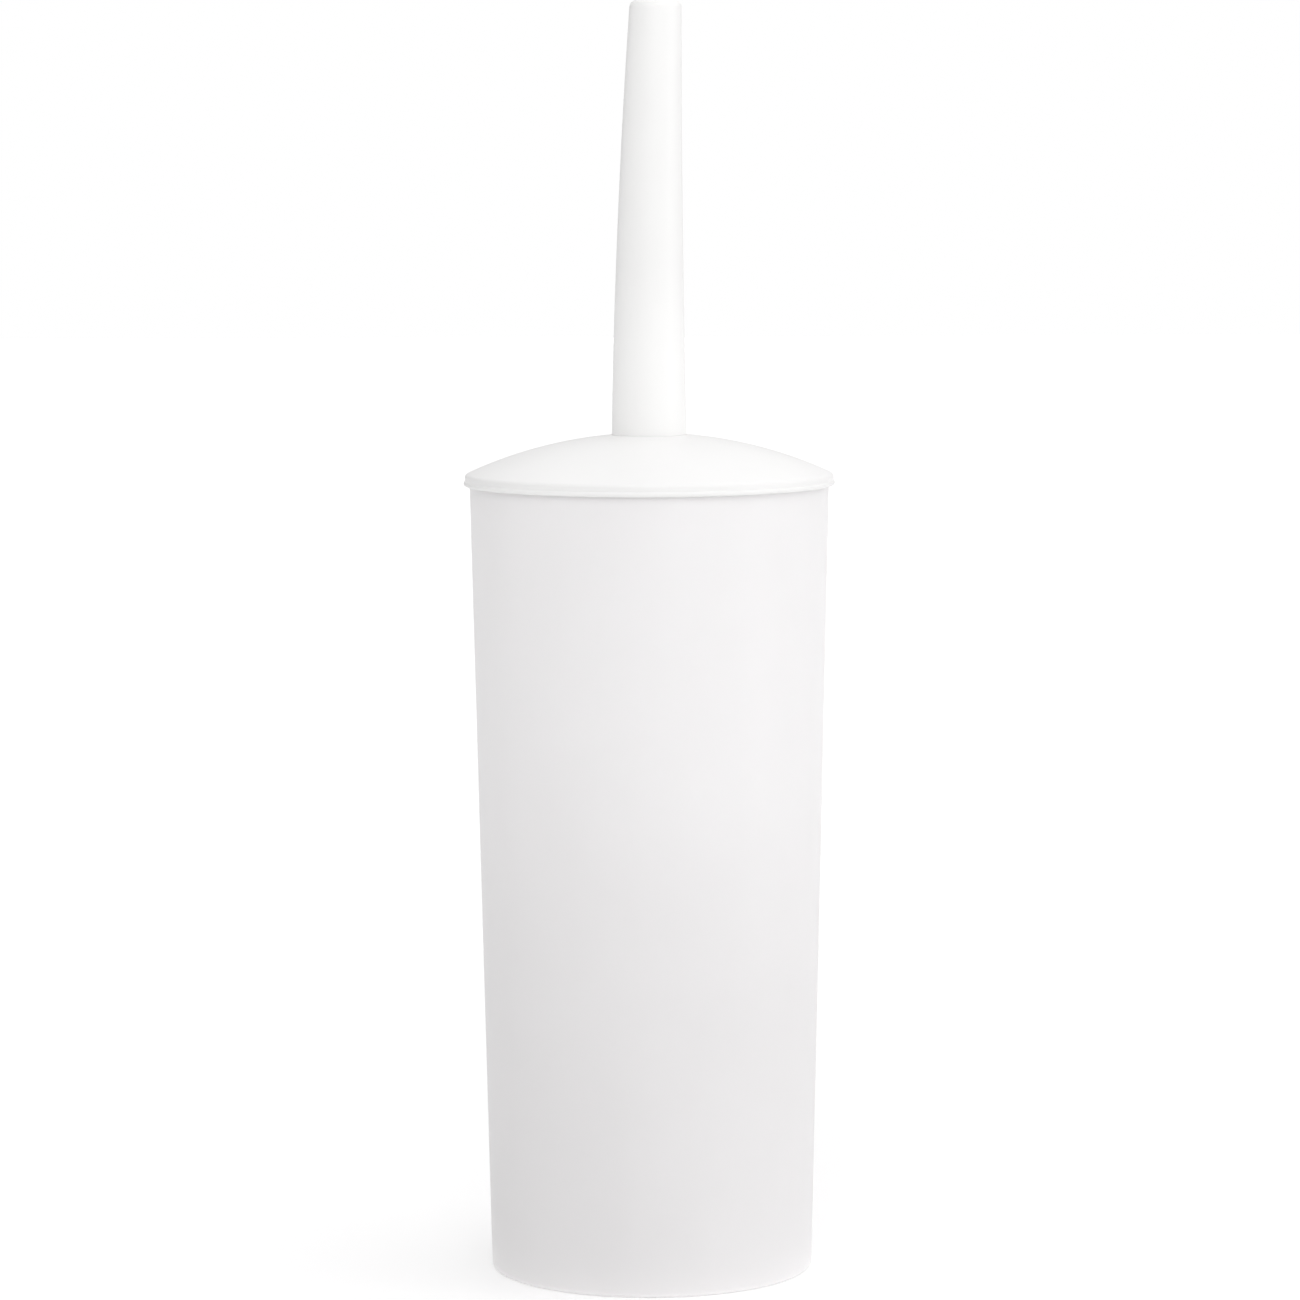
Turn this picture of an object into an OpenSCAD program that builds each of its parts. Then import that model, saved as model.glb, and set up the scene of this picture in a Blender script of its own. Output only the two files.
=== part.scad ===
// Toilet brush with its holder: a tapered plastic tub, a shallow domed lid that
// caps it, and a brush whose handle stands on the lid. The stem runs through the
// lid's boss, so the lid stays on the brush, turns on it and lifts out with it.
// Millimetres. The origin is the middle of the foot ring, on the floor, +Z is up
// and the front is -Y.

/* [Holder] */
// Height of the tub, from the floor to its mouth
holder_h = 236; // [225:1:245]
// Outer diameter of the tub at the floor
foot_d = 95.8; // [92:0.2:100]
// Outer diameter of the tub at its mouth
mouth_d = 106.5; // [105:0.1:107]
// Wall thickness of the tub
wall = 1.8; // [1.5:0.1:2.1]
// Thickness of the tub's floor
floor_t = 2; // [1.6:0.1:3]
// Depth of the hollow under the tub's floor
foot_recess = 2; // [1.5:0.1:3]
// Width of the ring that the tub stands on
foot_ring_w = 3; // [2.6:0.1:4]

/* [Lid] */
// How far the lid's edge stands out past the tub's mouth
lid_overhang = 1.75; // [1.6:0.05:2.2]
// Height of the band around the lid's edge
rim_h = 3.4; // [3.2:0.1:4.2]
// How far the lid's edge reaches down over the tub
rim_overlap = 1.8; // [1.4:0.1:2.2]
// Rise of the dome above the edge band
dome_h = 12.1; // [10:0.1:13]
// Wall thickness of the lid
lid_wall = 1.8; // [1.5:0.1:2]
// Depth of the ring that centres the lid inside the mouth
plug_h = 5; // [4:0.5:6]

/* [Handle] */
// Length of the handle above the lid
handle_l = 127.4; // [115:0.1:140]
// Diameter of the handle where it stands on the lid
handle_base_d = 22.2; // [21.6:0.1:23]
// Diameter of the handle at its tip
handle_tip_d = 15.2; // [14:0.1:17]
// Swell of the handle's radius at mid length
handle_belly = 0.22; // [0:0.01:0.5]
// How far the tip bows to the side
handle_bow = 2.4; // [0:0.1:2.5]
// Wall thickness of the handle
handle_wall = 1.8; // [1.5:0.1:2]

/* [Stem] */
// Diameter of the stem
stem_d = 12; // [11.6:0.1:12.4]
// Diameter of the flange that holds the lid against the handle
flange_d = 24; // [22:0.5:26]
// How far the stem reaches up into the handle
stem_reach = 38; // [30:1:42]

/* [Brush head] */
// Height of the centre of the head's round end above the floor
head_z = 42; // [40:0.5:46]
// Diameter of the head's core
head_d = 24; // [23.6:0.1:25]
// Diameter over the trimmed bristles
bristle_d = 78; // [72:1:82]
// Number of bristle rows around the head
rows = 9; // [7:1:9]
// Number of tufts in each row
tufts_per_row = 10; // [8:1:10]
// Distance between rows
row_pitch = 6.5; // [6.2:0.1:6.8]
// Diameter of each tuft hole
tuft_hole_d = 3; // [2.8:0.1:3]
// Depth of each tuft hole
tuft_hole_depth = 6; // [5.5:0.1:6]
// Diameter of a tuft where the trimmed bristles end
tuft_tip_d = 10; // [6:0.5:11]

/* [Hidden] */
$fn = 96;
eps = 0.01;
brush_parts = ["handle", "stem", "head_core"];
row_names = [for (i = [1:rows]) str("bristle_row_", i)];
end_names = ["bristle_ring_lower", "bristle_ring_bottom", "bristle_end_tuft", "tuft_anchors"];

// Colours
plastic_white = [0.95, 0.95, 0.94];
bristle_white = [0.98, 0.98, 0.97];
wire_grey = [0.72, 0.73, 0.74];

// Tub
foot_r = foot_d / 2;
mouth_r = mouth_d / 2;
foot_edge_r = 1.2;
lip_edge_r = 0.5;
lip_z = holder_h - lip_edge_r;
inner_fillet_r = 3;
tub_floor_z = foot_recess + floor_t;
gate_r = 2.5;
gate_h = 0.6;
function tub_r(z) = foot_r + (mouth_r - foot_r) * z / holder_h;

// Lid
rim_r = mouth_r + lid_overhang;
rim_z = holder_h - rim_overlap;
rim_top_z = rim_z + rim_h;
bead_r = 0.6;
band_inset = 0.4;
band_r = rim_r - band_inset;
lid_edge_r = 1.2;
seat_gap = 0.03;
seat_z = holder_h + seat_gap;
skirt_gap = 0.32;
plug_gap = 0.55;
plug_wall = 1.4;
dome_r = (band_r * band_r + dome_h * dome_h) / (2 * dome_h);
dome_c = rim_top_z + dome_h - dome_r;
edge_c = [band_r - lid_edge_r, dome_c + sqrt(pow(dome_r - lid_edge_r, 2) - pow(band_r - lid_edge_r, 2))];
plug_r = tub_r(holder_h - plug_h) - wall - plug_gap;
landing_drop = 0.4;
landing_z = rim_top_z + dome_h - landing_drop;
boss_r = 9.5;
boss_z = holder_h + 0.5;
boss_top_z = landing_z - lid_wall / 2;
gussets = 4;
gusset_t = 1.2;
gusset_r = 21;
gusset_drop = 7;
gusset_bite = 0.5;

// Handle
run_gap = 0.05;
fit_gap = 0.02;
handle_z = landing_z + run_gap;
handle_base_r = handle_base_d / 2;
handle_tip_r = handle_tip_d / 2;
tip_edge_r = 2;
handle_sides = 48;
outer_rings = 20;
inner_rings = 12;
edge_rings = 5;
socket_wall = 1.6;
socket_inset = 0.6;
ribs = 4;
rib_t = 1.4;
rib_h = 14;
rib_bite = 0.7;

// Stem
stem_r = stem_d / 2;
bore_r = stem_r + run_gap;
flange_r = flange_d / 2;
flange_t = 2.4;
flange_z = boss_z - run_gap;
stem_top_z = handle_z + stem_reach;
stem_chamfer = 0.8;
flange_edge = 0.6;
flange_cone_h = 2.4;
spigot_r = 4.48;
spigot_l = 17.5;
spigot_chamfer = 0.5;
shoulder_r = 8.2;
shoulder_edge = 1;
shoulder_h = 3;

// Brush head
head_r = head_d / 2;
first_row_z = head_z + row_pitch / 2;
head_top_z = first_row_z + rows * row_pitch + 1;
neck_r = 9;
neck_cone_h = 8;
neck_l = 20;
neck_z = head_top_z + neck_l;
socket_depth = 18;
hole_r = tuft_hole_d / 2;
hole_floor = head_r - tuft_hole_depth;
trim_r = bristle_d / 2;
lower_tufts = 9;
lower_tilt = 22;
lower_trim = trim_r - 2;
bottom_tufts = 5;
bottom_tilt = 55;
bottom_trim = trim_r - 5;
end_trim = trim_r - 7;
tuft_tip_r = tuft_tip_d / 2;
tuft_gap = 0.05;
crown_h = 1.6;
crown_shoulder = 0.6;
crown_drop = 0.4;
anchor_w = 2 * hole_r - 0.2;
anchor_h = 1.5;
anchor_t = 0.35;
root_start = hole_floor + 2 * tuft_gap + anchor_h;
top_row_trims = [trim_r - 5, trim_r - 1.5];

// Trim radius of one row: the two rows by the neck are cut shorter
function row_trim(i) = i > rows - 2 ? top_row_trims[rows - i] : trim_r;
function row_z(i) = first_row_z + (i - 1) * row_pitch;
function row_turn(i) = (i % 2) * 180 / tufts_per_row;

// Tub: one moulded shell, standing on a ring, with a flat lip rounded on both edges
module holder_half_section() {
    lip_r = tub_r(lip_z);
    difference() {
        union() {
            difference() {
                polygon([[0, 0], [foot_r, 0], [lip_r, lip_z], [0, lip_z]]);
                translate([foot_r - foot_edge_r, -eps]) square([foot_edge_r + 1, foot_edge_r + eps]);
            }
            translate([foot_r - foot_edge_r, foot_edge_r]) circle(foot_edge_r);
            for (r = [lip_r - lip_edge_r, lip_r - wall + lip_edge_r]) translate([r, lip_z]) circle(lip_edge_r);
            translate([lip_r - wall + lip_edge_r, lip_z - eps]) square([wall - 2 * lip_edge_r, lip_edge_r + eps]);
        }
        tub_hollow();
        translate([-eps, -eps]) square([foot_r - foot_ring_w + eps, foot_recess + eps]);
    }
    translate([0, foot_recess - gate_h]) square([gate_r, gate_h + eps]);
}

module tub_hollow() {
    floor_r = tub_r(tub_floor_z) - wall;
    lip_r = tub_r(lip_z) - wall;
    fillet_r = floor_r - inner_fillet_r;
    difference() {
        polygon([[-eps, tub_floor_z], [floor_r, tub_floor_z], [lip_r, lip_z], [lip_r, lip_z + eps],
                 [-eps, lip_z + eps]]);
        difference() {
            translate([fillet_r, tub_floor_z - eps]) square([inner_fillet_r + 1, inner_fillet_r]);
            translate([fillet_r, tub_floor_z + inner_fillet_r]) circle(inner_fillet_r);
        }
    }
}

module holder() {
    color(plastic_white) rotate_extrude() holder_half_section();
}

// Lid: domed shell with a beaded edge band, a ring that centres it in the mouth
// and a bored boss that turns on the stem
module dome_sector(radius) {
    reach = 2 * dome_r;
    slope = (edge_c[1] - dome_c) / edge_c[0];
    intersection() {
        translate([0, dome_c]) circle(radius, $fn = 240);
        polygon([[0, dome_c], [reach, dome_c + reach * slope], [0, dome_c + reach * slope]]);
    }
}

module lid_half_section() {
    skirt_r = mouth_r + skirt_gap;
    plug_z = holder_h - plug_h;
    inner_r = plug_r - plug_wall;
    difference() {
        union() {
            intersection() {
                dome_sector(dome_r);
                translate([0, seat_z]) square([band_r, dome_h + rim_h]);
            }
            intersection() {
                translate(edge_c) circle(lid_edge_r);
                translate([0, seat_z + eps]) square([rim_r, dome_h + rim_h]);
            }
            translate([0, seat_z]) square([band_r, edge_c[1] - seat_z]);
            translate([skirt_r, rim_z + bead_r]) square([band_r - skirt_r, seat_z - rim_z - bead_r + eps]);
            translate([skirt_r, rim_z]) square([rim_r - bead_r - skirt_r, bead_r + eps]);
            translate([rim_r - bead_r, rim_z + bead_r]) circle(bead_r);
            translate([inner_r, plug_z]) square([plug_wall, seat_z - plug_z + eps]);
        }
        intersection() {
            translate([0, dome_c]) circle(dome_r - lid_wall, $fn = 240);
            translate([-eps, plug_z - 1]) square([inner_r + eps, plug_h + dome_h + rim_h]);
        }
        translate([-eps, landing_z]) square([rim_r, dome_h]);
    }
}

module boss_half_section() {
    translate([bore_r, boss_z]) square([boss_r - bore_r, boss_top_z - boss_z]);
}

module gusset() {
    shell_z = dome_c + sqrt(pow(dome_r - lid_wall / 2, 2) - pow(gusset_r, 2));
    rotate([90, 0, 0])
        linear_extrude(gusset_t, center = true)
            polygon([[boss_r - gusset_bite, boss_top_z], [boss_r - gusset_bite, boss_top_z - gusset_drop],
                     [gusset_r, shell_z - lid_wall], [gusset_r, shell_z]]);
}

module lid() {
    color(plastic_white) {
        difference() {
            rotate_extrude() lid_half_section();
            translate([0, 0, boss_z]) cylinder(h = dome_h + rim_h, r = bore_r);
        }
        rotate_extrude() boss_half_section();
        for (i = [0:gussets - 1]) rotate([0, 0, (i + 0.5) * 360 / gussets]) gusset();
    }
}

// Handle: a hollow tapered tube with a closed tip, bowed a little to +X, with a
// ribbed socket for the stem inside its foot
function handle_r(t) = handle_base_r + (handle_tip_r - handle_base_r) * t + handle_belly * 4 * t * (1 - t);
function bow_x(t) = handle_bow * t * t;
function ring(z, r, dx) = [for (i = [0:handle_sides - 1]) let (a = 360 * i / handle_sides)
    [dx + r * cos(a), r * sin(a), z]];

// Every ring as [height, radius, sideways shift], up the inside and back down the outside
tip_t = 1 - tip_edge_r / handle_l;
inner_stations = [for (i = [0:inner_rings]) let (t = i / inner_rings * tip_t)
    [handle_z + t * handle_l, handle_r(t) - handle_wall, bow_x(t)]];
outer_stations = [for (i = [0:outer_rings]) let (t = i / outer_rings * tip_t)
    [handle_z + t * handle_l, handle_r(t), bow_x(t)]];
edge_stations = [for (i = [1:edge_rings]) let (a = 90 * i / edge_rings)
    [handle_z + tip_t * handle_l + tip_edge_r * sin(a),
     handle_r(tip_t) - tip_edge_r * (1 - cos(a)), bow_x(tip_t)]];
function reversed(list) = [for (i = [len(list) - 1:-1:0]) list[i]];
shell_stations = concat(reversed(inner_stations), outer_stations, edge_stations);

module handle_shell() {
    count = len(shell_stations);
    points = [for (s = shell_stations) each ring(s[0], s[1], s[2])];
    sides = [for (j = [0:count - 2], i = [0:handle_sides - 1])
        let (k = (i + 1) % handle_sides, a = j * handle_sides, b = (j + 1) * handle_sides)
        each [[a + i, b + k, a + k], [a + i, b + i, b + k]]];
    cavity_top = [for (i = [0:handle_sides - 1]) i];
    tip = [for (i = [handle_sides - 1:-1:0]) (count - 1) * handle_sides + i];
    polyhedron(points, concat(sides, [cavity_top, tip]), convexity = 6);
}

module handle() {
    socket_r = stem_r + fit_gap;
    socket_h = stem_reach + 1;
    rib_start = socket_r + socket_wall / 2;
    color(plastic_white) {
        handle_shell();
        translate([0, 0, handle_z + socket_inset]) {
            difference() {
                cylinder(h = socket_h, r = socket_r + socket_wall);
                translate([0, 0, -1]) cylinder(h = socket_h + 2, r = socket_r);
            }
            for (i = [0:ribs - 1]) rotate([0, 0, (i + 0.5) * 360 / ribs])
                translate([rib_start, -rib_t / 2, 0])
                    cube([handle_base_r - handle_wall + rib_bite - rib_start, rib_t, rib_h]);
        }
    }
}

// Stem: a round rod with a flange under the lid and a spigot into the brush head
module stem() {
    spigot_z = neck_z - spigot_l;
    color(plastic_white)
        rotate_extrude()
            polygon([[0, spigot_z], [spigot_r - spigot_chamfer, spigot_z], [spigot_r, spigot_z + spigot_chamfer],
                     [spigot_r, neck_z], [shoulder_r, neck_z], [shoulder_r, neck_z + shoulder_edge],
                     [stem_r, neck_z + shoulder_h], [stem_r, flange_z - flange_t - flange_cone_h],
                     [flange_r - flange_edge, flange_z - flange_t], [flange_r, flange_z - flange_t + flange_edge],
                     [flange_r, flange_z], [stem_r, flange_z], [stem_r, stem_top_z - stem_chamfer],
                     [stem_r - stem_chamfer, stem_top_z], [0, stem_top_z]]);
}

// Head core: a round-ended plug drilled for the tufts, with a socketed neck
module head_half_section() {
    difference() {
        union() {
            intersection() {
                translate([0, head_z]) circle(head_r);
                translate([0, head_z - head_r - 1]) square([head_r + 1, head_r + 1 + eps]);
            }
            polygon([[0, head_z], [head_r, head_z], [head_r, head_top_z], [neck_r, head_top_z + neck_cone_h],
                     [neck_r, neck_z], [0, neck_z]]);
        }
        translate([-eps, neck_z - socket_depth]) square([spigot_r + fit_gap + eps, socket_depth + 1]);
    }
}

module head_core() {
    color(plastic_white)
        difference() {
            rotate_extrude() head_half_section();
            at_every_tuft() translate([0, 0, hole_floor]) cylinder(h = head_r, r = hole_r, $fn = 32);
        }
}

// Each tuft's own frame: +Z runs out of the head along the tuft
module tuft_frame(z, tilt, turn) {
    translate([0, 0, z]) rotate([0, 0, turn]) rotate([0, 90 + tilt, 0]) children();
}

module at_row(i) {
    for (k = [0:tufts_per_row - 1])
        tuft_frame(row_z(i), 0, row_turn(i) + k * 360 / tufts_per_row) children();
}

module at_ring(count, tilt) {
    for (k = [0:count - 1]) tuft_frame(head_z, tilt, k * 360 / count) children();
}

module at_every_tuft() {
    for (i = [1:rows]) at_row(i) children();
    at_ring(lower_tufts, lower_tilt) children();
    at_ring(bottom_tufts, bottom_tilt) children();
    at_ring(1, 90) children();
}

// One tuft: a packed root in its hole that flares to the trimmed end
module tuft(trim, tip_r = tuft_tip_r) {
    root_r = hole_r - tuft_gap;
    rotate_extrude($fn = 32)
        polygon([[0, root_start], [root_r, root_start], [root_r, head_r], [tip_r, trim - crown_h],
                 [tip_r * crown_shoulder, trim - crown_drop], [0, trim]]);
}

module bristle_row(i) {
    color(bristle_white) at_row(i) tuft(row_trim(i));
}

module bristle_ring_lower() {
    color(bristle_white) at_ring(lower_tufts, lower_tilt) tuft(lower_trim);
}

module bristle_ring_bottom() {
    color(bristle_white) at_ring(bottom_tufts, bottom_tilt) tuft(bottom_trim);
}

module bristle_end_tuft() {
    color(bristle_white) at_ring(1, 90) tuft(end_trim);
}

// Anchors: the small flat wires that pin each tuft at the bottom of its hole
module tuft_anchors() {
    color(wire_grey)
        at_every_tuft()
            translate([-anchor_t / 2, -anchor_w / 2, hole_floor + tuft_gap])
                cube([anchor_t, anchor_w, anchor_h]);
}

holder();
lid();
handle();
stem();
head_core();
for (i = [1:rows]) bristle_row(i);
bristle_ring_lower();
bristle_ring_bottom();
bristle_end_tuft();
tuft_anchors();
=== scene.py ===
"""Toilet brush and holder: the looks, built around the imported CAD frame.

A white moulded tub, domed lid and tapered handle, and inside the tub a brush head
of filament tufts. Lengths are in metres in the row frame: +Z is up, -Y is the front.
"""

import math
import random

import bmesh
import bpy
from mathutils import Matrix, Vector

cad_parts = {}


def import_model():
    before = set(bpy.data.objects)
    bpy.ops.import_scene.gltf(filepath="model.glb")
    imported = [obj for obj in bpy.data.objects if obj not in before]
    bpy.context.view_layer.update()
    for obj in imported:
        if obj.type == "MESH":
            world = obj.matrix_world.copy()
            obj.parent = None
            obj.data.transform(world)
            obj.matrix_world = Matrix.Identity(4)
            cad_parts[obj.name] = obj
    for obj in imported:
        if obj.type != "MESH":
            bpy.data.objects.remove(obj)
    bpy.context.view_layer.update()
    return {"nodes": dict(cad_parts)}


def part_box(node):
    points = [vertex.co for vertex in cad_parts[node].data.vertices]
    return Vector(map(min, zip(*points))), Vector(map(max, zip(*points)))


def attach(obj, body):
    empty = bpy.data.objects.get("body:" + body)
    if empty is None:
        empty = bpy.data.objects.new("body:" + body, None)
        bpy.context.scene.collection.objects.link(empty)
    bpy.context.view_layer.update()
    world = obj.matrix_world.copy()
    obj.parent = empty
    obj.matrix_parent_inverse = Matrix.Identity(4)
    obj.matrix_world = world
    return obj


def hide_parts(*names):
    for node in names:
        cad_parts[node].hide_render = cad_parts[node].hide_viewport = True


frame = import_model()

MM = 0.001
SEED = 7

# ---------------------------------------------------------------- sizes, from the frame


def reach(node, low, high):
    """Largest distance from the Z axis of a CAD node's vertices between two heights."""
    points = (v.co for v in frame["nodes"][node].data.vertices)
    return max(math.hypot(p.x, p.y) for p in points if low <= p.z <= high)


mouth_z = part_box("holder")[1].z
foot_r = reach("holder", 1.0 * MM, 1.5 * MM)
mouth_r = reach("holder", mouth_z - 1 * MM, mouth_z) + 0.01 * MM
plug_z, landing_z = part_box("lid")[0].z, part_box("lid")[1].z
rim_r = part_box("lid")[1].x
handle_z, tip_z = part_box("handle")[0].z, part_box("handle")[1].z
handle_foot_r = reach("handle", handle_z - 1 * MM, handle_z + 0.1 * MM)

# ---------------------------------------------------------------- mesh helpers

ARC_STEP = math.radians(10)
SUPPORT = 0.3 * MM
ON_AXIS = 1e-7
SHARP_FROM = math.radians(32)


def rounded(corners):
    """Closed outline from corners (radius from the axis, height, edge radius), in metres."""
    points = []
    count = len(corners)
    for i, (r, z, edge) in enumerate(corners):
        here = Vector((r, z))
        if not edge:
            points.append(here)
            continue
        to_last = Vector(corners[i - 1][:2]) - here
        to_next = Vector(corners[(i + 1) % count][:2]) - here
        a, b = to_last.normalized(), to_next.normalized()
        half = a.angle(b) / 2
        cut = edge / math.tan(half)
        centre = here + (a + b).normalized() * edge / math.sin(half)
        start, end = here + a * cut, here + b * cut
        first = math.atan2(*(start - centre).yx)
        last = math.atan2(*(end - centre).yx)
        sweep = (last - first + math.pi) % (2 * math.pi) - math.pi
        steps = max(3, math.ceil(abs(sweep) / ARC_STEP))
        if to_last.length > 2 * (cut + SUPPORT):
            points.append(start + a * SUPPORT)
        for k in range(steps + 1):
            angle = first + sweep * k / steps
            points.append(centre + edge * Vector((math.cos(angle), math.sin(angle))))
        if to_next.length > 2 * (cut + SUPPORT):
            points.append(end + b * SUPPORT)
    return points


def arc(centre_z, radius, r_from, r_to, steps):
    """Points on a circle about (0, centre_z) between two distances from the axis."""
    a, b = math.asin(r_from / radius), math.asin(r_to / radius)
    angles = (a + (b - a) * k / steps for k in range(steps + 1))
    return [Vector((radius * math.sin(t), centre_z + radius * math.cos(t))) for t in angles]


def new_object(name, bm):
    """Object from a bmesh, smooth except where it turns sharply."""
    bmesh.ops.recalc_face_normals(bm, faces=bm.faces)
    mesh = bpy.data.meshes.new(name)
    bm.to_mesh(mesh)
    bm.free()
    obj = bpy.data.objects.new(name, mesh)
    bpy.context.scene.collection.objects.link(obj)
    smooth(mesh)
    return obj


def smooth(mesh):
    mesh.shade_smooth()
    mesh.set_sharp_from_angle(angle=SHARP_FROM)


def bridge(bm, rings, closed):
    """Faces between rings of vertices; a ring of one vertex is a pole."""
    count = len(rings)
    for i in range(count if closed else count - 1):
        a, b = rings[i], rings[(i + 1) % count]
        sides = max(len(a), len(b))
        if sides == 1:
            continue
        for k in range(sides):
            m = (k + 1) % sides
            corners = [a[k % len(a)], a[m % len(a)], b[m % len(b)], b[k % len(b)]]
            bm.faces.new(list(dict.fromkeys(corners)))


def lathe(name, outline, segments):
    """Solid turned about Z from a closed outline of (radius, height)."""
    bm = bmesh.new()
    turns = [2 * math.pi * k / segments for k in range(segments)]
    rings = []
    for r, z in outline:
        if r < ON_AXIS:
            rings.append([bm.verts.new((0, 0, z))])
        else:
            rings.append([bm.verts.new((r * math.cos(t), r * math.sin(t), z)) for t in turns])
    bridge(bm, rings, closed=True)
    return new_object(name, bm)


def prism(name, outline, thickness, turn):
    """Plate whose outline is (radius, height), centred on a plane turned about Z."""
    bm = bmesh.new()
    spin = Matrix.Rotation(turn, 4, "Z")
    sides = [
        [bm.verts.new(spin @ Vector((r, y, z))) for r, z in outline]
        for y in (-thickness / 2, thickness / 2)
    ]
    bridge(bm, sides, closed=False)
    bm.faces.new(sides[0])
    bm.faces.new(sides[1])
    return new_object(name, bm)


def fuse(obj, others):
    """Unites other solids into obj and removes them."""
    for other in others:
        step = obj.modifiers.new("fuse", "BOOLEAN")
        step.operation = "UNION"
        step.solver = "EXACT"
        step.object = other
    graph = bpy.context.evaluated_depsgraph_get()
    mesh = bpy.data.meshes.new_from_object(obj.evaluated_get(graph))
    obj.modifiers.clear()
    obj.data = mesh
    smooth(mesh)
    for other in others:
        bpy.data.objects.remove(other)
    return obj


# ---------------------------------------------------------------- materials


class Paint:
    """A node material with its Principled shader and short ways to add nodes."""

    def __init__(self, name):
        self.material = bpy.data.materials.new(name)
        self.material.use_nodes = True
        self.tree = self.material.node_tree
        self.shader = self.tree.nodes["Principled BSDF"]
        self.coord = self.add("ShaderNodeTexCoord").outputs["Object"]

    def add(self, kind, **settings):
        node = self.tree.nodes.new(kind)
        for key, value in settings.items():
            setattr(node, key, value)
        return node

    def link(self, out, socket):
        self.tree.links.new(out, socket)

    def noise(self, scale, detail=2.0, stretch=None, roughness=0.5):
        """Noise from 0 to 1 with features of about 1 / scale metres; stretch scales each axis."""
        node = self.add("ShaderNodeTexNoise")
        node.inputs["Scale"].default_value = scale
        node.inputs["Detail"].default_value = detail
        node.inputs["Roughness"].default_value = roughness
        source = self.coord
        if stretch:
            mapping = self.add("ShaderNodeMapping")
            mapping.inputs["Scale"].default_value = stretch
            self.link(source, mapping.inputs["Vector"])
            source = mapping.outputs["Vector"]
        self.link(source, node.inputs["Vector"])
        return node.outputs["Fac"]

    def remap(self, value, low, high, from_low=0.0, from_high=1.0):
        node = self.add("ShaderNodeMapRange")
        node.inputs["From Min"].default_value = from_low
        node.inputs["From Max"].default_value = from_high
        node.inputs["To Min"].default_value = low
        node.inputs["To Max"].default_value = high
        self.link(value, node.inputs["Value"])
        return node.outputs["Result"]

    def math(self, operation, a, b):
        node = self.add("ShaderNodeMath", operation=operation)
        for socket, value in zip(node.inputs, (a, b)):
            if isinstance(value, (int, float)):
                socket.default_value = value
            else:
                self.link(value, socket)
        return node.outputs[0]

    def mix(self, factor, a, b):
        """Colour between a and b, each a colour or a socket."""
        node = self.add("ShaderNodeMix", data_type="RGBA")
        self.link(factor, node.inputs["Factor"])
        for socket, value in ((node.inputs[6], a), (node.inputs[7], b)):
            if isinstance(value, tuple):
                socket.default_value = (*value, 1)
            else:
                self.link(value, socket)
        return node.outputs[2]

    def axis(self, name):
        node = self.add("ShaderNodeSeparateXYZ")
        self.link(self.coord, node.inputs[0])
        return node.outputs[name]

    def bump(self, height, distance, under=None):
        node = self.add("ShaderNodeBump")
        node.inputs["Strength"].default_value = 1.0
        node.inputs["Distance"].default_value = distance
        self.link(height, node.inputs["Height"])
        if under:
            self.link(under, node.inputs["Normal"])
        return node.outputs["Normal"]

    def set(self, **values):
        for key, value in values.items():
            self.shader.inputs[key.replace("_", " ")].default_value = value


# Noise scales are features per metre, bump heights are in metres
CLOUD_SCALE, CLOUD_SHARE = 22, 0.75
STREAK_SCALE, STREAK_STRETCH = 9, (7, 7, 0.7)
SPECK_SCALE, SPECK_RANGE, SPECK_SHARE, SPECK_TONE = 2600, (0.70, 0.78), 0.10, 0.80
SCUFF_SCALE, SCUFF_RANGE, SCUFF_SHARE, SCUFF_TONE, SCUFF_ROUGH = 900, (0.45, 0.62), 0.35, 0.90, 0.18
MIDDLE = (0.35, 0.65)
GLOSS_SPREAD = 0.035
PEEL_SCALE, PEEL_HEIGHT = 380, 6e-6
GRAIN_SCALE, GRAIN_HEIGHT = 3600, 2.2e-6
PLASTIC_IOR = 1.49
SCATTER_TINT = (1.0, 0.97, 0.97)


# Painted shade: the colour is made darker or lighter by height to stand in for how the light falls.
def painted_height_shade(paint, colour, start, end, share):
    """The colour times a factor that goes smoothly from 1 at one height to share at the other."""
    fade = paint.add("ShaderNodeMapRange", interpolation_type="SMOOTHSTEP")
    settings = {"From Min": start, "From Max": end, "To Min": 1, "To Max": share}
    for socket, value in settings.items():
        fade.inputs[socket].default_value = value
    paint.link(paint.axis("Z"), fade.inputs["Value"])
    scaled = paint.add("ShaderNodeVectorMath", operation="SCALE")
    paint.link(colour, scaled.inputs[0])
    paint.link(fade.outputs["Result"], scaled.inputs["Scale"])
    return scaled.outputs["Vector"]


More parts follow.
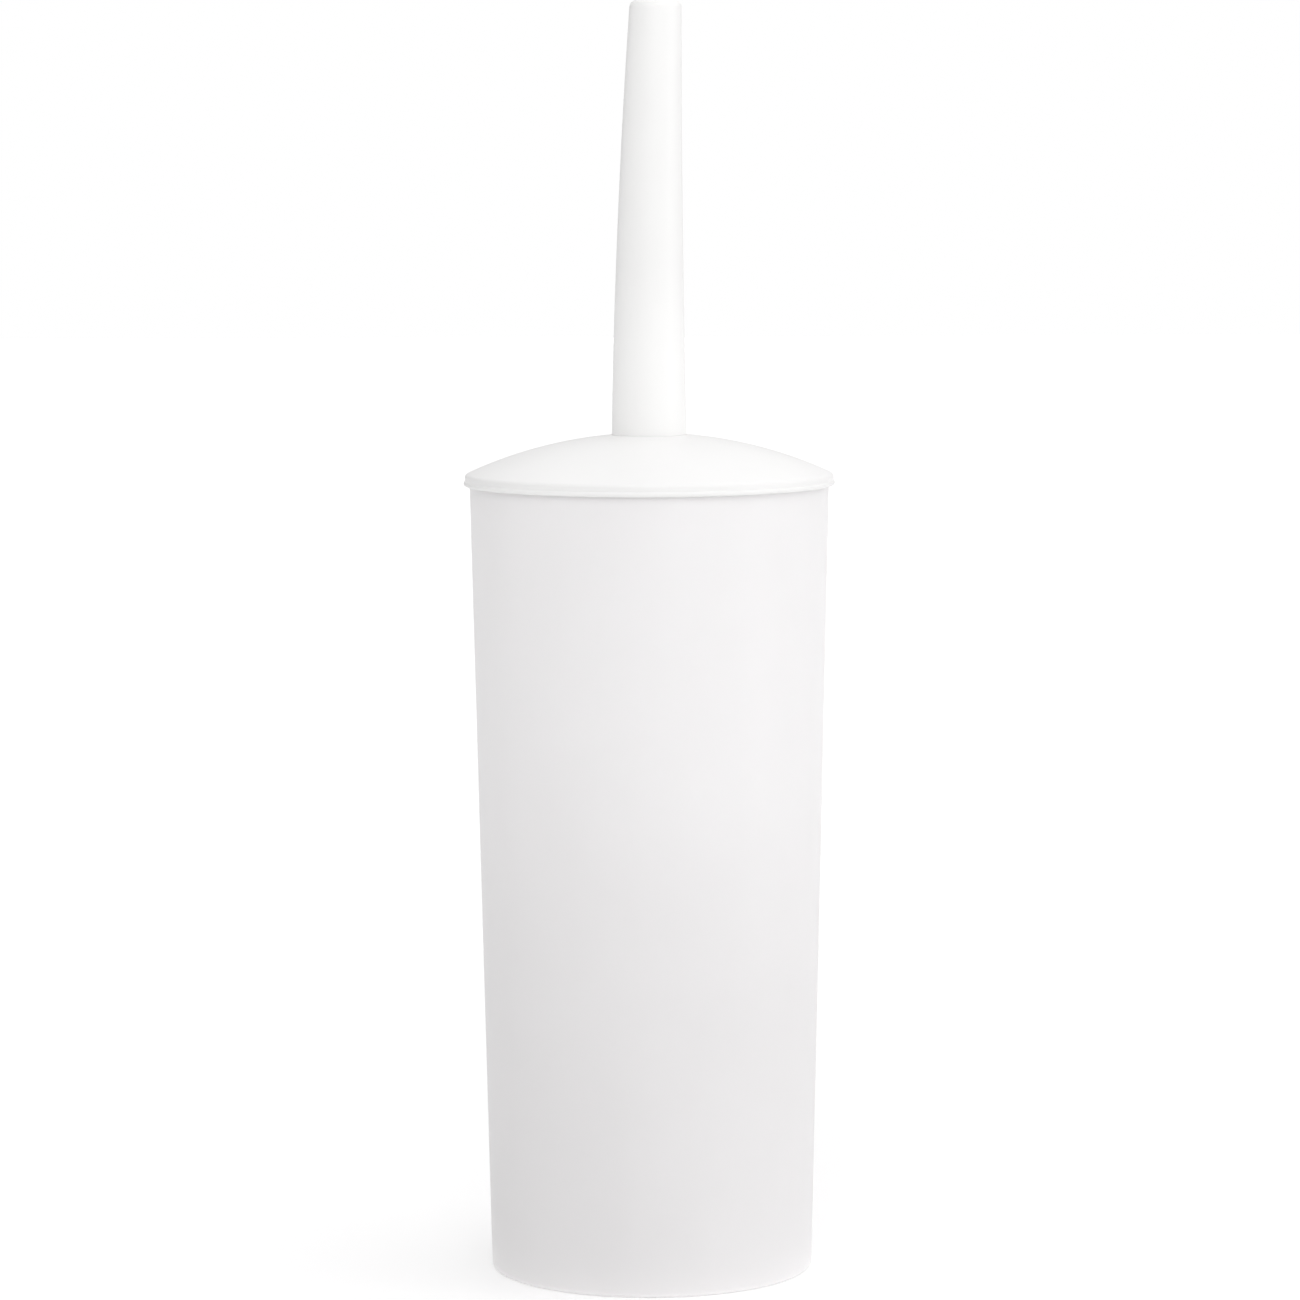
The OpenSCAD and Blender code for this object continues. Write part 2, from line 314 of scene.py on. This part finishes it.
def moulded(name, light, dark, rough, scatter, shade=None, foot=None):
    """Satin white polypropylene: faint cloudiness, flow streaks, orange peel and mould texture.

    scatter is (weight, depth) of the light that goes into the plastic. shade is (height, other
    height, share): the colour keeps that share of its value from the other height on. foot is
    the height up to which standing on floors has scuffed the piece."""
    paint = Paint(name)
    cloud = paint.noise(CLOUD_SCALE, detail=3)
    streak = paint.noise(STREAK_SCALE, detail=3, stretch=STREAK_STRETCH)
    blend = paint.math(
        "ADD",
        paint.math("MULTIPLY", cloud, CLOUD_SHARE),
        paint.math("MULTIPLY", streak, 1 - CLOUD_SHARE),
    )
    colour = paint.mix(paint.remap(blend, 0, 1, *MIDDLE), dark, light)
    speck = paint.remap(paint.noise(SPECK_SCALE, detail=1), 0, 1, *SPECK_RANGE)
    speck_colour = tuple(c * SPECK_TONE for c in dark)
    colour = paint.mix(paint.math("MULTIPLY", speck, SPECK_SHARE), colour, speck_colour)
    gloss = paint.remap(blend, rough - GLOSS_SPREAD, rough + GLOSS_SPREAD, *MIDDLE)
    # painted shade: the colour fades by height to stand in for the light falling off
    if shade:
        colour = painted_height_shade(paint, colour, *shade)
    if foot:
        low = paint.remap(paint.axis("Z"), 1, 0, foot * 0.2, foot)
        wear = paint.remap(paint.noise(SCUFF_SCALE, detail=4, roughness=0.7), 0, 1, *SCUFF_RANGE)
        scuff = paint.math("MULTIPLY", low, wear)
        scuff_colour = tuple(c * SCUFF_TONE for c in dark)
        colour = paint.mix(paint.math("MULTIPLY", scuff, SCUFF_SHARE), colour, scuff_colour)
        gloss = paint.math("ADD", gloss, paint.math("MULTIPLY", scuff, SCUFF_ROUGH))
    paint.link(colour, paint.shader.inputs["Base Color"])
    paint.link(gloss, paint.shader.inputs["Roughness"])
    peel = paint.bump(paint.noise(PEEL_SCALE, detail=2), PEEL_HEIGHT)
    grain = paint.bump(paint.noise(GRAIN_SCALE, detail=2), GRAIN_HEIGHT, under=peel)
    paint.link(grain, paint.shader.inputs["Normal"])
    weight, depth = scatter
    paint.set(
        IOR=PLASTIC_IOR,
        Subsurface_Weight=weight,
        Subsurface_Radius=SCATTER_TINT,
        Subsurface_Scale=depth,
    )
    return paint.material


FILAMENT_DARK, FILAMENT_LIGHT = (0.86, 0.86, 0.853), (0.95, 0.95, 0.946)
FILAMENT_ROUGH = (0.34, 0.5)
FILAMENT_GRAIN_SCALE, FILAMENT_GRAIN_HEIGHT = 5200, 4e-6
FILAMENT_SCATTER = (0.25, 0.6 * MM)
DUST_SCALE, DUST_RANGE, DUST_SHARE, DUST = 60, (0.4, 0.65), 0.25, (0.87, 0.865, 0.855)


def filament():
    """Drawn white bristle: each filament a shade of its own, with faint dusty patches."""
    paint = Paint("bristle_filament")
    tone = paint.add("ShaderNodeNewGeometry").outputs["Random Per Island"]
    colour = paint.mix(tone, FILAMENT_DARK, FILAMENT_LIGHT)
    patch = paint.remap(paint.noise(DUST_SCALE, detail=3), 0, 1, *DUST_RANGE)
    colour = paint.mix(paint.math("MULTIPLY", patch, DUST_SHARE), colour, DUST)
    paint.link(colour, paint.shader.inputs["Base Color"])
    paint.link(paint.remap(tone, *FILAMENT_ROUGH), paint.shader.inputs["Roughness"])
    grain = paint.bump(paint.noise(FILAMENT_GRAIN_SCALE, detail=2), FILAMENT_GRAIN_HEIGHT)
    paint.link(grain, paint.shader.inputs["Normal"])
    weight, depth = FILAMENT_SCATTER
    paint.set(
        IOR=PLASTIC_IOR,
        Subsurface_Weight=weight,
        Subsurface_Radius=(1.0, 1.0, 1.0),
        Subsurface_Scale=depth,
    )
    return paint.material


STEEL_DARK, STEEL_LIGHT = (0.50, 0.51, 0.52), (0.70, 0.71, 0.72)
DIE_SCALE, DIE_STRETCH, DIE_ROUGH, DIE_HEIGHT = 500, (1, 1, 14), (0.25, 0.45), 8e-6


def wire():
    """Flat drawn steel wire with fine die lines."""
    paint = Paint("anchor_wire")
    lines = paint.noise(DIE_SCALE, detail=3, stretch=DIE_STRETCH)
    steel = paint.mix(lines, STEEL_DARK, STEEL_LIGHT)
    paint.link(steel, paint.shader.inputs["Base Color"])
    paint.link(paint.remap(lines, *DIE_ROUGH), paint.shader.inputs["Roughness"])
    paint.link(paint.bump(lines, DIE_HEIGHT), paint.shader.inputs["Normal"])
    paint.set(Metallic=1.0)
    return paint.material


TUB_TONES = (0.900, 0.888, 0.891), (0.877, 0.865, 0.868)
LID_TONES = (0.897, 0.896, 0.889), (0.872, 0.870, 0.865)
# Painted light: the handle is the same white plastic as the tub and lid, with its colour made
# lighter to stand in for the stronger light on it
HANDLE_LIT_TONES = (0.972, 0.972, 0.963), (0.952, 0.951, 0.943)
HIDDEN_TONES = (0.905, 0.905, 0.900), (0.870, 0.868, 0.866)
TUB_ROUGH, LID_ROUGH, HANDLE_ROUGH, STEM_ROUGH, HEAD_ROUGH = 0.40, 0.38, 0.36, 0.42, 0.46
# Painted shade: the tub's colour darkens to 93 % from 180 mm down to 75 mm, standing in for the
# light falling off lower down
TUB_PAINTED_SHADE = (180 * MM, 75 * MM, 0.93)
# Painted light: the handle's colour is full at its foot, filling the shade there, and 93.5 % from
# 60 mm up
HANDLE_PAINTED_LIGHT = (handle_z, handle_z + 60 * MM, 0.935)
SCUFF_TOP = 4 * MM
DEEP, SHALLOW = (0.7, 1.8 * MM), (0.12, 0.5 * MM)

tub_white = moulded("tub_plastic", *TUB_TONES, TUB_ROUGH, DEEP, shade=TUB_PAINTED_SHADE, foot=SCUFF_TOP)
lid_white = moulded("lid_plastic", *LID_TONES, LID_ROUGH, SHALLOW)
handle_white = moulded("handle_plastic", *HANDLE_LIT_TONES, HANDLE_ROUGH, SHALLOW, shade=HANDLE_PAINTED_LIGHT)
stem_white = moulded("stem_plastic", *HIDDEN_TONES, STEM_ROUGH, SHALLOW)
head_white = moulded("head_plastic", *HIDDEN_TONES, HEAD_ROUGH, SHALLOW)
bristle_white = filament()
wire_steel = wire()


def finish_piece(obj, material, slot, body, *nodes):
    obj.data.materials.clear()
    obj.data.materials.append(material)
    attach(obj, body)
    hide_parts(*nodes)


def dress(node, material):
    """Gives a CAD node that stays its material."""
    obj = frame["nodes"][node]
    for place in obj.material_slots:
        place.material = material


# ---------------------------------------------------------------- tub

WALL = 1.8 * MM
TURNS = 256


def tub():
    """Thin tapered shell on a foot ring, with a rounded lip."""
    floor_low, floor_high = 2.0 * MM, 4.0 * MM
    ring = foot_r - 3.0 * MM
    gate_r, gate_z = 2.5 * MM, 1.4 * MM
    taper = (mouth_r - foot_r) / mouth_z
    inner_foot_r = foot_r + taper * floor_high - WALL
    corners = [
        (0, gate_z, 0),
        (gate_r, gate_z, 0.25 * MM),
        (gate_r, floor_low, 0.2 * MM),
        (ring, floor_low, 0.5 * MM),
        (ring, 0, 0.4 * MM),
        (foot_r, 0, 1.2 * MM),
    ]
    bands = 12
    for k in range(1, bands):
        z = mouth_z * k / bands
        corners.append((foot_r + taper * z, z, 0))
    corners += [(mouth_r, mouth_z, 0.5 * MM), (mouth_r - WALL, mouth_z, 0.5 * MM)]
    for k in range(bands - 1, 0, -1):
        z = mouth_z * k / bands
        corners.append((foot_r + taper * z - WALL, z, 0))
    corners += [(inner_foot_r, floor_high, 3.0 * MM), (0, floor_high, 0)]
    return lathe("tub", rounded(corners), TURNS)


# ---------------------------------------------------------------- lid

LID_WALL = 1.8 * MM
RIM_OVERLAP, RIM_HEIGHT = 1.8 * MM, 3.4 * MM
DOME_RISE = 12.1 * MM
BAND_INSET, BAND_EDGE, BEAD = 0.4 * MM, 1.2 * MM, 0.8 * MM
BEAD_EASE = 0.15 * MM
DOME_STEPS, EDGE_STEPS, UNDERSIDE_STEPS = 40, 9, 30
SEAT_GAP, SKIRT_GAP = 0.03 * MM, 0.32 * MM
PLUG_WALL = 1.4 * MM
BOSS_R, BOSS_RAISE, BORE_R = 9.5 * MM, 0.5 * MM, 6.05 * MM
BOSS_CHAMFER, BORE_CHAMFER = 0.4 * MM, 0.3 * MM
GUSSET_R, GUSSET_T, GUSSET_H, GUSSET_FOOT = 21 * MM, 1.2 * MM, 8 * MM, 2 * MM
BITE = 0.6 * MM


def lid():
    """Domed shell with a beaded edge band, a centring ring, a bored boss and gussets."""
    rim_z = mouth_z - RIM_OVERLAP
    band_r = rim_r - BAND_INSET
    dome_r = (band_r ** 2 + DOME_RISE ** 2) / (2 * DOME_RISE)
    dome_z = rim_z + RIM_HEIGHT + DOME_RISE - dome_r
    edge_x = band_r - BAND_EDGE
    edge_z = dome_z + math.sqrt((dome_r - BAND_EDGE) ** 2 - edge_x ** 2)
    lean = math.atan2(edge_x, edge_z - dome_z)
    seat_z = mouth_z + SEAT_GAP
    skirt_r = mouth_r + SKIRT_GAP
    plug_r = reach("lid", plug_z - 0.1 * MM, plug_z + 1 * MM)
    plug_in = plug_r - PLUG_WALL
    boss_z = mouth_z + BOSS_RAISE
    landing_r = math.sqrt(dome_r ** 2 - (landing_z - dome_z) ** 2)
    inner = dome_r - LID_WALL

    outline = [Vector((BORE_R, landing_z))]
    outline += arc(dome_z, dome_r, landing_r, dome_r * math.sin(lean), DOME_STEPS)
    for k in range(1, EDGE_STEPS + 1):
        angle = lean + (math.pi / 2 - lean) * k / EDGE_STEPS
        turn = Vector((math.sin(angle), math.cos(angle)))
        outline.append(Vector((edge_x, edge_z)) + BAND_EDGE * turn)
    bead_x, bead_z = rim_r - BEAD, rim_z + BEAD
    neck = math.sqrt(BEAD ** 2 - (band_r - bead_x) ** 2)
    outline.append(Vector((band_r, bead_z + neck + BEAD_EASE)))
    first = math.asin(neck / BEAD)
    for k in range(EDGE_STEPS + 1):
        angle = first + (-math.pi / 2 - first) * k / EDGE_STEPS
        outline.append(Vector((bead_x, bead_z)) + BEAD * Vector((math.cos(angle), math.sin(angle))))
    inside = [
        (bead_x, rim_z, 0),
        (skirt_r, rim_z, 0.2 * MM),
        (skirt_r, seat_z, 0.15 * MM),
        (plug_r, seat_z, 0.2 * MM),
        (plug_r, plug_z, 0.5 * MM),
        (plug_in, plug_z, 0.5 * MM),
        (plug_in, dome_z + math.sqrt(inner ** 2 - plug_in ** 2), 0),
    ]
    outline += rounded(inside)[1:]
    outline += arc(dome_z, inner, plug_in, BOSS_R, UNDERSIDE_STEPS)[1:]
    outline += [
        Vector((BOSS_R, boss_z + BOSS_CHAMFER)),
        Vector((BOSS_R - BOSS_CHAMFER, boss_z)),
        Vector((BORE_R + BORE_CHAMFER, boss_z)),
        Vector((BORE_R, boss_z + BORE_CHAMFER)),
    ]
    shell = lathe("lid_dome", outline, TURNS)

    top = dome_z + inner + BITE
    low = dome_z + math.sqrt(inner ** 2 - GUSSET_R ** 2)
    sheet = [
        (BOSS_R - BITE, top),
        (BOSS_R - BITE, top - GUSSET_H),
        (BOSS_R + GUSSET_FOOT, top - GUSSET_H),
        (GUSSET_R, low + BITE),
    ]
    plates = [
        prism(f"gusset_{i}", sheet, GUSSET_T, (i + 0.5) * math.pi / 2) for i in range(4)
    ]
    return fuse(shell, plates)


# ---------------------------------------------------------------- handle

HANDLE_SIDES, COLLAR_SIDES = 128, 64
HANDLE_RINGS, TIP_RINGS = 60, 10
TIP_R, TIP_EDGE = 7.6 * MM, 2.0 * MM
TIP_FACE_SHARES = (0.96, 0.75, 0.4)
BELLY, BOW = 0.22 * MM, 2.4 * MM
HANDLE_WALL = 1.8 * MM
# The foot reaches a little into the gap over the dome, which makes the dark line there fainter
FOOT_SINK, FOOT_EDGE_SINK = 0.055 * MM, 0.115 * MM
FOOT_CUT, FOOT_EDGE = 0.7 * MM, 0.03 * MM
SOCKET_R, SOCKET_WALL, SOCKET_INSET, SOCKET_H = 6.02 * MM, 1.6 * MM, 0.6 * MM, 39 * MM
RIB_T, RIB_H = 1.4 * MM, 14 * MM


def handle():
    """Hollow tapered tube that bows a little to +X and ends in a nearly flat, rounded tip."""
    length = tip_z - handle_z
    top = 1 - TIP_EDGE / length

    def station(t, inset=0.0, rise=0.0):
        """Height, radius and sideways shift of the ring at a share t of the length."""
        radius = handle_foot_r + (TIP_R - handle_foot_r) * t + BELLY * 4 * t * (1 - t)
        return (handle_z + t * length + rise, radius - inset, BOW * t * t)

    outer = [
        station(0, FOOT_CUT, -FOOT_SINK),
        station(0, FOOT_EDGE, -FOOT_EDGE_SINK),
        station(0, 0, FOOT_EDGE - FOOT_EDGE_SINK),
    ]
    outer += [station(top * k / HANDLE_RINGS) for k in range(1, HANDLE_RINGS + 1)]
    for k in range(1, TIP_RINGS + 1):
        angle = math.pi / 2 * k / TIP_RINGS
        outer.append(station(top, TIP_EDGE * (1 - math.cos(angle)), TIP_EDGE * math.sin(angle)))
    tip_height, tip_radius, tip_shift = outer[-1]
    for share in TIP_FACE_SHARES:
        outer.append((tip_height, tip_radius * share, tip_shift))
    inner = [station(top * k / HANDLE_RINGS, HANDLE_WALL) for k in range(HANDLE_RINGS, -1, -2)]
    bm = bmesh.new()
    turns = [2 * math.pi * k / HANDLE_SIDES for k in range(HANDLE_SIDES)]
    rings = [[bm.verts.new((inner[0][2], 0, inner[0][0]))]]
    for z, r, x in inner + outer:
        rings.append([bm.verts.new((x + r * math.cos(t), r * math.sin(t), z)) for t in turns])
    rings.append([bm.verts.new((tip_shift, 0, tip_height))])
    bridge(bm, rings, closed=False)
    shell = new_object("handle_grip", bm)

    low, collar_r = handle_z + SOCKET_INSET, SOCKET_R + SOCKET_WALL
    collar_outline = [
        (SOCKET_R, low),
        (collar_r, low),
        (collar_r, low + SOCKET_H),
        (SOCKET_R, low + SOCKET_H),
    ]
    collar = lathe("collar", collar_outline, COLLAR_SIDES)
    rib_from, rib_to = SOCKET_R + SOCKET_WALL / 2, handle_foot_r - HANDLE_WALL / 2
    side = [(rib_from, low), (rib_to, low), (rib_to, low + RIB_H), (rib_from, low + RIB_H)]
    ribs = [prism(f"rib_{i}", side, RIB_T, (i + 0.5) * math.pi / 2) for i in range(4)]
    return fuse(shell, [collar, *ribs])


# ---------------------------------------------------------------- bristles

ROW_TUFTS = 10
FILAMENTS = 34
FILAMENT_R = 0.21 * MM
FILAMENT_SIDES = 4
FILAMENT_RINGS = 7
HOLE_R = 1.4 * MM
CORE_R = 12 * MM
ROOT = 8.2 * MM
TIP_SPREAD = 5.0 * MM
TIP_TURN, TIP_WAVE, TIP_DROP, TIP_SHORT = 0.16, 0.35, 0.5, 0.22
TIP_TAPER = 0.72
FLARE_START, FLARE_POWER = CORE_R - 0.5 * MM, 1.15
TIP_SPREAD_RANGE = (0.82, 1.0)
TRIM_INSET = 0.05 * MM
HEAD_Z = 42 * MM
# Tufts around the round end: how many, their tilt in degrees and how far out they are trimmed
END_RINGS = {
    "lower": (9, 22, 37 * MM),
    "bottom": (5, 55, 34 * MM),
    "end": (1, 90, 32 * MM),
}


def tuft_frame(height, tilt, turn):
    """Local frame of one tuft: +Z runs out of the head along the tuft."""
    return (
        Matrix.Translation((0, 0, height))
        @ Matrix.Rotation(turn, 4, "Z")
        @ Matrix.Rotation(math.pi / 2 + math.radians(tilt), 4, "Y")
    )


def add_filament(bm, place, trim, rng):
    """One filament from its hole to the trimmed end, flaring out and slightly bent."""
    angle = rng.uniform(0, 2 * math.pi)
    share = math.sqrt(rng.random())
    root = Vector((math.cos(angle), math.sin(angle))) * share * (HOLE_R - FILAMENT_R)
    spread = share * TIP_SPREAD * rng.uniform(*TIP_SPREAD_RANGE)
    tip_angle = angle + rng.gauss(0, TIP_TURN)
    tip = Vector((math.cos(tip_angle), math.sin(tip_angle))) * spread
    wave = Vector((rng.gauss(0, TIP_WAVE), rng.gauss(0, TIP_WAVE))) * MM
    drop = TIP_DROP * (spread / TIP_SPREAD) ** 2 * MM
    end = trim - drop - abs(rng.gauss(0, TIP_SHORT)) * MM
    twist = rng.uniform(0, math.pi / 2)
    rings = []
    for k in range(FILAMENT_RINGS):
        t = k / (FILAMENT_RINGS - 1)
        along = ROOT + (end - ROOT) * t
        out = max(0.0, (along - FLARE_START) / (end - CORE_R))
        centre = root.lerp(tip, out ** FLARE_POWER) + wave * math.sin(math.pi * out) * out
        r = FILAMENT_R * (TIP_TAPER if k == FILAMENT_RINGS - 1 else 1)
        ring = []
        for s in range(FILAMENT_SIDES):
            a = twist + 2 * math.pi * s / FILAMENT_SIDES
            point = Vector((centre.x + r * math.cos(a), centre.y + r * math.sin(a), along))
            ring.append(bm.verts.new(place @ point))
        rings.append(ring)
    bridge(bm, rings, closed=False)
    bm.faces.new(rings[0])
    bm.faces.new(rings[-1])


def tufts(name, height, tilt, turns, trim, node):
    """All the tufts of one row or ring as one piece."""
    rng = random.Random(f"{SEED}{name}")
    bm = bmesh.new()
    for turn in turns:
        place = tuft_frame(height, tilt, turn)
        for _ in range(FILAMENTS):
            add_filament(bm, place, trim, rng)
    obj = new_object(name, bm)
    # Four-sided filaments look round only with every edge smooth
    obj.data.shade_smooth()
    finish_piece(obj, bristle_white, "bristle_filament", "brush", node)


def around(count, start=0.0):
    return [start + 2 * math.pi * k / count for k in range(count)]


def brush_head():
    rows = sorted(n for n in frame["nodes"] if n.startswith("bristle_row_"))
    for i, node in enumerate(rows, 1):
        low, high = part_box(node)
        middle = (low.z + high.z) / 2
        trim = reach(node, low.z, high.z) - TRIM_INSET
        turns = around(ROW_TUFTS, (i % 2) * math.pi / ROW_TUFTS)
        tufts(f"filaments_{i}", middle, 0, turns, trim, node)
    for name, (count, tilt, trim) in END_RINGS.items():
        node = "bristle_end_tuft" if name == "end" else f"bristle_ring_{name}"
        tufts(f"filaments_{name}", HEAD_Z, tilt, around(count), trim, node)


# ---------------------------------------------------------------- stage, lights and camera


def area_light(name, place, aim, size, power):
    data = bpy.data.lights.new(name, "AREA")
    data.shape = "RECTANGLE"
    data.size, data.size_y = size
    data.energy = power
    obj = bpy.data.objects.new(name, data)
    obj.location = place
    obj.rotation_euler = (Vector(aim) - Vector(place)).to_track_quat("-Z", "Y").to_euler()
    bpy.context.scene.collection.objects.link(obj)


WORLD_BASE, WORLD_RIGHT, WORLD_BACK, WORLD_UP = 0.42, 0.25, 0.09, 0.75
WORLD_TINT = (1.0, 0.995, 0.998, 1)


def world():
    """White surround for the camera; softer light, stronger from the right, above and behind."""
    scene_world = bpy.data.worlds.new("studio")
    bpy.context.scene.world = scene_world
    scene_world.use_nodes = True
    tree = scene_world.node_tree
    tree.nodes.clear()
    new = tree.nodes.new
    coord, split = new("ShaderNodeTexCoord"), new("ShaderNodeSeparateXYZ")
    tree.links.new(coord.outputs["Generated"], split.inputs[0])
    level = None
    for axis, weight in (("X", WORLD_RIGHT), ("Y", WORLD_BACK), ("Z", WORLD_UP)):
        part = new("ShaderNodeMath")
        part.operation = "MULTIPLY_ADD"
        part.inputs[1].default_value = weight
        part.inputs[2].default_value = WORLD_BASE
        tree.links.new(split.outputs[axis], part.inputs[0])
        if level:
            tree.links.new(level, part.inputs[2])
        level = part.outputs[0]
    lit, seen, mix, ray = (
        new("ShaderNodeBackground"),
        new("ShaderNodeBackground"),
        new("ShaderNodeMixShader"),
        new("ShaderNodeLightPath"),
    )
    lit.inputs["Color"].default_value = WORLD_TINT
    seen.inputs["Color"].default_value = (1, 1, 1, 1)
    tree.links.new(level, lit.inputs["Strength"])
    tree.links.new(ray.outputs["Is Camera Ray"], mix.inputs[0])
    tree.links.new(lit.outputs[0], mix.inputs[1])
    tree.links.new(seen.outputs[0], mix.inputs[2])
    out = new("ShaderNodeOutputWorld")
    tree.links.new(mix.outputs[0], out.inputs["Surface"])


FLOOR_SIZE, FLOOR_SCALE, FLOOR_ROUGH = 8.0, 3, 0.6
FLOOR_DARK, FLOOR_LIGHT = (0.90, 0.90, 0.90), (0.93, 0.93, 0.93)
# Glow near and far, what the part close to the foot throws on top, and what the camera sees on top
GLOW_NEAR, GLOW_FAR, GLOW_FOOT, GLOW_SEEN = 0.02, 0.20, 0.25, 0.11
GLOW_FROM, GLOW_TO = 0.2, 1.4
FOOT_FROM, FOOT_TO = 0.065, 0.05


def floor():
    """Plain white table that glows a little further off, so that it has no horizon.

    The camera sees it evenly brighter; what it throws more is only close to the foot."""
    bm = bmesh.new()
    bmesh.ops.create_grid(bm, x_segments=8, y_segments=8, size=FLOOR_SIZE)
    obj = new_object("floor", bm)
    paint = Paint("floor_white")
    white = paint.mix(paint.noise(FLOOR_SCALE, detail=2), FLOOR_DARK, FLOOR_LIGHT)
    paint.link(white, paint.shader.inputs["Base Color"])
    away = paint.add("ShaderNodeVectorMath", operation="LENGTH")
    paint.link(paint.coord, away.inputs[0])
    glow = paint.remap(away.outputs["Value"], GLOW_NEAR, GLOW_FAR, GLOW_FROM, GLOW_TO)
    foot = paint.remap(away.outputs["Value"], 0, GLOW_FOOT, FOOT_FROM, FOOT_TO)
    seen = paint.add("ShaderNodeLightPath").outputs["Is Camera Ray"]
    thrown = paint.math("MULTIPLY", foot, paint.math("SUBTRACT", 1, seen))
    extra = paint.math("ADD", thrown, paint.math("MULTIPLY", seen, GLOW_SEEN))
    paint.link(paint.math("ADD", glow, extra), paint.shader.inputs["Emission Strength"])
    paint.set(Roughness=FLOOR_ROUGH, Emission_Color=(1, 1, 1, 1))
    obj.data.materials.append(paint.material)


CAMERA_SIDE, CAMERA_DISTANCE, CAMERA_HEIGHT = 0.05 * MM, 1.46836, 0.32893
CAMERA_TILT = math.radians(5.594)
CAMERA_ROLL = math.radians(-0.205)
CAMERA_LENS, CAMERA_SENSOR = 137.44, 36


def camera():
    data = bpy.data.cameras.new("camera")
    data.sensor_width = CAMERA_SENSOR
    data.lens = CAMERA_LENS
    obj = bpy.data.objects.new("camera", data)
    obj.location = (CAMERA_SIDE, -CAMERA_DISTANCE, CAMERA_HEIGHT)
    aim = Matrix.Rotation(math.pi / 2 - CAMERA_TILT, 4, "X") @ Matrix.Rotation(CAMERA_ROLL, 4, "Z")
    obj.rotation_euler = aim.to_euler()
    bpy.context.scene.collection.objects.link(obj)
    bpy.context.scene.camera = obj


# ---------------------------------------------------------------- build

camera()
world()
floor()
area_light("front_softbox", (-0.1, -0.8, 0.85), (0, 0, 0.25), (0.7, 0.5), 2.3)
area_light("right_strip", (1.2, -0.35, 0.35), (0, 0, 0.2), (0.5, 1.2), 1.4)
bpy.context.scene.view_settings.view_transform = "Standard"

finish_piece(tub(), tub_white, "tub_plastic", "holder", "holder")
finish_piece(lid(), lid_white, "lid_plastic", "lid", "lid")
finish_piece(handle(), handle_white, "handle_plastic", "brush", "handle")
brush_head()
dress("stem", stem_white)
dress("head_core", head_white)
dress("tuft_anchors", wire_steel)
